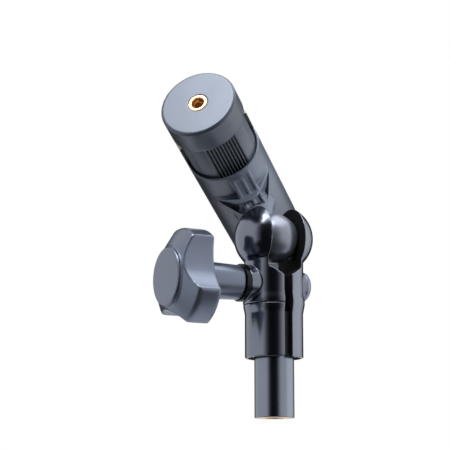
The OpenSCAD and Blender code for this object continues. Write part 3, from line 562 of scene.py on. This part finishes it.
def makeFloor():
    bpy.ops.mesh.primitive_circle_add(vertices=64, radius=floorSizes["radius"], fill_type="NGON",
                                      location=(0, 0, -floorSizes["drop"]))
    floor = bpy.context.object
    floor.name = "studioFloor"
    material, tree = stageMaterial("paleStudioFloor")
    place = addNode(tree, "ShaderNodeTexCoord").outputs["Object"]
    distance = addNode(tree, "ShaderNodeVectorMath", {"operation": "LENGTH"}, links={0: place})
    fade = addNode(tree, "ShaderNodeMapRange", {"interpolation_type": "SMOOTHSTEP"},
                   {"From Min": floorSizes["fadeStart"], "From Max": floorSizes["fadeEnd"]},
                   {"Value": distance.outputs["Value"]})
    path = addNode(tree, "ShaderNodeLightPath")
    mirrored = addNode(tree, "ShaderNodeMath", {"operation": "MAXIMUM"}, links={0: path.outputs["Is Camera Ray"],
                       1: path.outputs["Is Glossy Ray"]})
    seen = addNode(tree, "ShaderNodeMath", {"operation": "MAXIMUM"}, links={0: mirrored.outputs[0],
                   1: path.outputs["Is Transmission Ray"]})
    pale = addNode(tree, "ShaderNodeMix", {"data_type": "RGBA"},
                   {6: hexToLinear(floorSizes["bounce"]), 7: hexToLinear(floorSizes["seen"])}, {0: seen.outputs[0]})
    paint = addNode(tree, "ShaderNodeBsdfDiffuse", links={"Color": pale.outputs[2]})
    below = addNode(tree, "ShaderNodeNewGeometry").outputs["Backfacing"]
    gone = addNode(tree, "ShaderNodeMath", {"operation": "MAXIMUM"}, links={0: fade.outputs["Result"], 1: below})
    paintStage(floor, material, paint, gone.outputs[0])


# soft walls of light to both sides of the object, with a dark gap toward the viewer
skySizes = {"gapAzimuth": -17, "wallFrom": 0.25, "wallTo": 0.8, "gapLevel": 0.03, "leftLevel": 0.25,
            "rightLevel": 2.4, "topLevel": 0.5, "topFrom": 0.5, "topTo": 0.95, "lowFrom": -0.75, "lowTo": -0.2}


def makeWorld():
    world = bpy.data.worlds.new("studioWorld")
    bpy.context.scene.world = world
    world.use_nodes = True
    tree = world.node_tree
    tree.nodes.clear()
    turn = math.radians(skySizes["gapAzimuth"])
    direction = addNode(tree, "ShaderNodeTexCoord").outputs["Generated"]
    sideways = addNode(tree, "ShaderNodeVectorMath", {"operation": "DOT_PRODUCT"},
                       {1: (math.cos(turn), math.sin(turn), 0)}, {0: direction}).outputs["Value"]
    height = addNode(tree, "ShaderNodeSeparateXYZ", links={0: direction}).outputs["Z"]

    def ramp(value, start, end, level):
        return addNode(tree, "ShaderNodeMapRange", {"interpolation_type": "SMOOTHSTEP"},
                       {"From Min": start, "From Max": end, "To Max": level}, {"Value": value}).outputs["Result"]

    def joined(kind, first, second):
        return addNode(tree, "ShaderNodeMath", {"operation": kind}, links={0: first, 1: second}).outputs[0]

    right = ramp(sideways, skySizes["wallFrom"], skySizes["wallTo"], skySizes["rightLevel"])
    left = ramp(sideways, -skySizes["wallFrom"], -skySizes["wallTo"], skySizes["leftLevel"])
    overFloor = ramp(height, skySizes["lowFrom"], skySizes["lowTo"], 1.0)
    walls = joined("MULTIPLY", joined("ADD", right, left), overFloor)
    lit = joined("ADD", walls, ramp(height, skySizes["topFrom"], skySizes["topTo"], skySizes["topLevel"]))
    level = addNode(tree, "ShaderNodeMath", {"operation": "ADD"}, {1: skySizes["gapLevel"]}, {0: lit}).outputs[0]
    path = addNode(tree, "ShaderNodeLightPath")
    seen = joined("MAXIMUM", joined("MAXIMUM", path.outputs["Is Camera Ray"], path.outputs["Is Glossy Ray"]),
                  path.outputs["Is Transmission Ray"])
    strength = addNode(tree, "ShaderNodeMix", {"data_type": "FLOAT"}, {3: 1.0}, {0: seen, 2: level})
    sky = addNode(tree, "ShaderNodeBackground", values={"Color": (1, 1, 1, 1)},
                  links={"Strength": strength.outputs[0]})
    addNode(tree, "ShaderNodeOutputWorld", links={"Surface": sky.outputs[0]})


# black cards, soft at their rims, that the polished castings mirror as dark bands and dark edges
standing = {"distance": 1.1, "middle": 0.1, "tilt": 0, "darkHeight": 1.0, "clearHeight": 1.55}
lying = {"distance": 0.5, "middle": -0.19, "tilt": 90, "darkHeight": 0.36, "clearHeight": 0.6}
cards = [{"name": "frontCard", "azimuth": -33, "darkHalf": 0.32, "clearHalf": 1.06, **standing},
         {"name": "leftRimCard", "azimuth": -186, "darkHalf": 0.16, "clearHalf": 0.42, **standing},
         {"name": "rightRimCard", "azimuth": 126, "darkHalf": 0.16, "clearHalf": 0.42, **standing},
         {"name": "floorCard", "azimuth": -33, "darkHalf": 0.28, "clearHalf": 0.7, **lying}]
cardCloth = {"colour": "#16181c", "spread": 2.1}  # a card spreads a little past the place where it is clear


def makeCard(sizes):
    azimuth = math.radians(sizes["azimuth"])
    bpy.ops.mesh.primitive_plane_add(size=1)
    card = bpy.context.object
    card.name = sizes["name"]
    for vertex in card.data.vertices:
        vertex.co = Vector((vertex.co.x * sizes["clearHalf"], 0, vertex.co.y * sizes["clearHeight"]))
        vertex.co *= cardCloth["spread"]
    card.location = (math.sin(azimuth) * sizes["distance"], -math.cos(azimuth) * sizes["distance"], sizes["middle"])
    card.rotation_euler = (math.radians(sizes["tilt"]), 0, azimuth)
    card.visible_camera = False
    card.visible_diffuse = card.visible_shadow = sizes["tilt"] == 0  # the lying one leaves the floor lit
    material, tree = stageMaterial("blackCardCloth")
    place = addNode(tree, "ShaderNodeSeparateXYZ", links={0: addNode(tree, "ShaderNodeTexCoord").outputs["Object"]})

    def rim(axis, dark, clear):
        far = addNode(tree, "ShaderNodeMath", {"operation": "ABSOLUTE"}, links={0: place.outputs[axis]})
        return addNode(tree, "ShaderNodeMapRange", {"interpolation_type": "SMOOTHSTEP"},
                       {"From Min": dark, "From Max": clear}, {"Value": far.outputs[0]}).outputs["Result"]

    clearness = addNode(tree, "ShaderNodeMath", {"operation": "MAXIMUM"},
                        links={0: rim("X", sizes["darkHalf"], sizes["clearHalf"]),
                               1: rim("Z", sizes["darkHeight"], sizes["clearHeight"])})
    cloth = addNode(tree, "ShaderNodeBsdfDiffuse", values={"Color": hexToLinear(cardCloth["colour"])})
    paintStage(card, material, cloth, clearness.outputs[0])


# softboxes: place, size and target in metres, power in watts; one that isn't mirrored leaves no streak on metal
middle, jawFace = (0, 0, 0.085), (-0.044, -0.015, 0.125)
softboxes = [
    {"name": "faceSoftbox", "place": (-0.22, -0.094, 0.508), "size": (0.25, 0.25), "power": 1.75, "target": jawFace},
    {"name": "frontSoftbox", "place": (-0.28, -0.53, 0.74), "size": (0.55, 0.28), "power": 2.0, "target": middle},
    {"name": "overheadSoftbox", "place": (0.12, -0.12, 0.95), "size": (0.9, 0.9), "power": 5.4, "target": middle},
    {"name": "rightSoftbox", "place": (0.95, -0.35, 0.25), "size": (0.9, 1.2), "power": 1.6, "target": middle}]
notMirrored = ("frontSoftbox", "neckLamp")
# a narrow lamp that lifts the cast neck out of the shade of the jaw
neckSpot = {"name": "neckLamp", "place": (0.10, -0.62, 0.32), "power": 185, "coneDegrees": 2.8, "blend": 1.0,
            "softSize": 0.02, "upMm": 20, "leftMm": 5}


def placedLamp(kind, sizes, target):  # a lamp at its place, aimed at its target, and not seen itself
    lamp = bpy.data.lights.new(sizes["name"], kind)
    lamp.energy = sizes["power"]
    lampObject = bpy.data.objects.new(sizes["name"], lamp)
    bpy.context.collection.objects.link(lampObject)
    lampObject.location = sizes["place"]
    lampObject.rotation_mode = "QUATERNION"
    lampObject.rotation_quaternion = (Vector(target) - Vector(sizes["place"])).to_track_quat("-Z", "Y")
    lampObject.visible_camera = False
    lampObject.visible_glossy = sizes["name"] not in notMirrored
    return lamp


def makeLights():
    for sizes in softboxes:
        lamp = placedLamp("AREA", sizes, sizes["target"])
        lamp.shape = "RECTANGLE"
        lamp.size, lamp.size_y = sizes["size"]
    aim = ballCentre + (neckDirection * neckSpot["upMm"] - acrossDirection * neckSpot["leftMm"]) * mm
    spot = placedLamp("SPOT", neckSpot, aim)
    spot.spot_size, spot.spot_blend = math.radians(neckSpot["coneDegrees"]), neckSpot["blend"]
    spot.shadow_soft_size = neckSpot["softSize"]
    makeWorld()
    for card in cards:
        makeCard(card)


# camera at the photograph's viewing angle; its last two sizes put the ball where the photograph has it
cameraSizes = {"azimuth": -27.96, "elevation": -10.8, "distance": 0.63675, "lensMm": 121.1, "sensorMm": 36,
               "clipStart": 0.01, "ballRight": 0.02038, "ballUp": -0.00581}


def makeCamera():
    azimuth, elevation = (math.radians(cameraSizes[key]) for key in ("azimuth", "elevation"))
    back = Vector((math.sin(azimuth) * math.cos(elevation), -math.cos(azimuth) * math.cos(elevation),
                   math.sin(elevation)))
    right = Vector((math.cos(azimuth), math.sin(azimuth), 0))
    up = back.cross(right)
    camera = bpy.data.cameras.new("photoCamera")
    camera.lens = cameraSizes["lensMm"]
    camera.sensor_width = cameraSizes["sensorMm"]
    camera.clip_start = cameraSizes["clipStart"]
    cameraObject = bpy.data.objects.new("photoCamera", camera)
    bpy.context.collection.objects.link(cameraObject)
    cameraObject.location = (ballCentre + back * cameraSizes["distance"] - right * cameraSizes["ballRight"]
                             - up * cameraSizes["ballUp"])
    cameraObject.rotation_mode = "QUATERNION"
    cameraObject.rotation_quaternion = (-back).to_track_quat("-Z", "Y")
    bpy.context.scene.camera = cameraObject


makeFloor()
makeLights()
makeCamera()
bpy.context.scene.view_settings.view_transform = "Standard"
print("stage set")
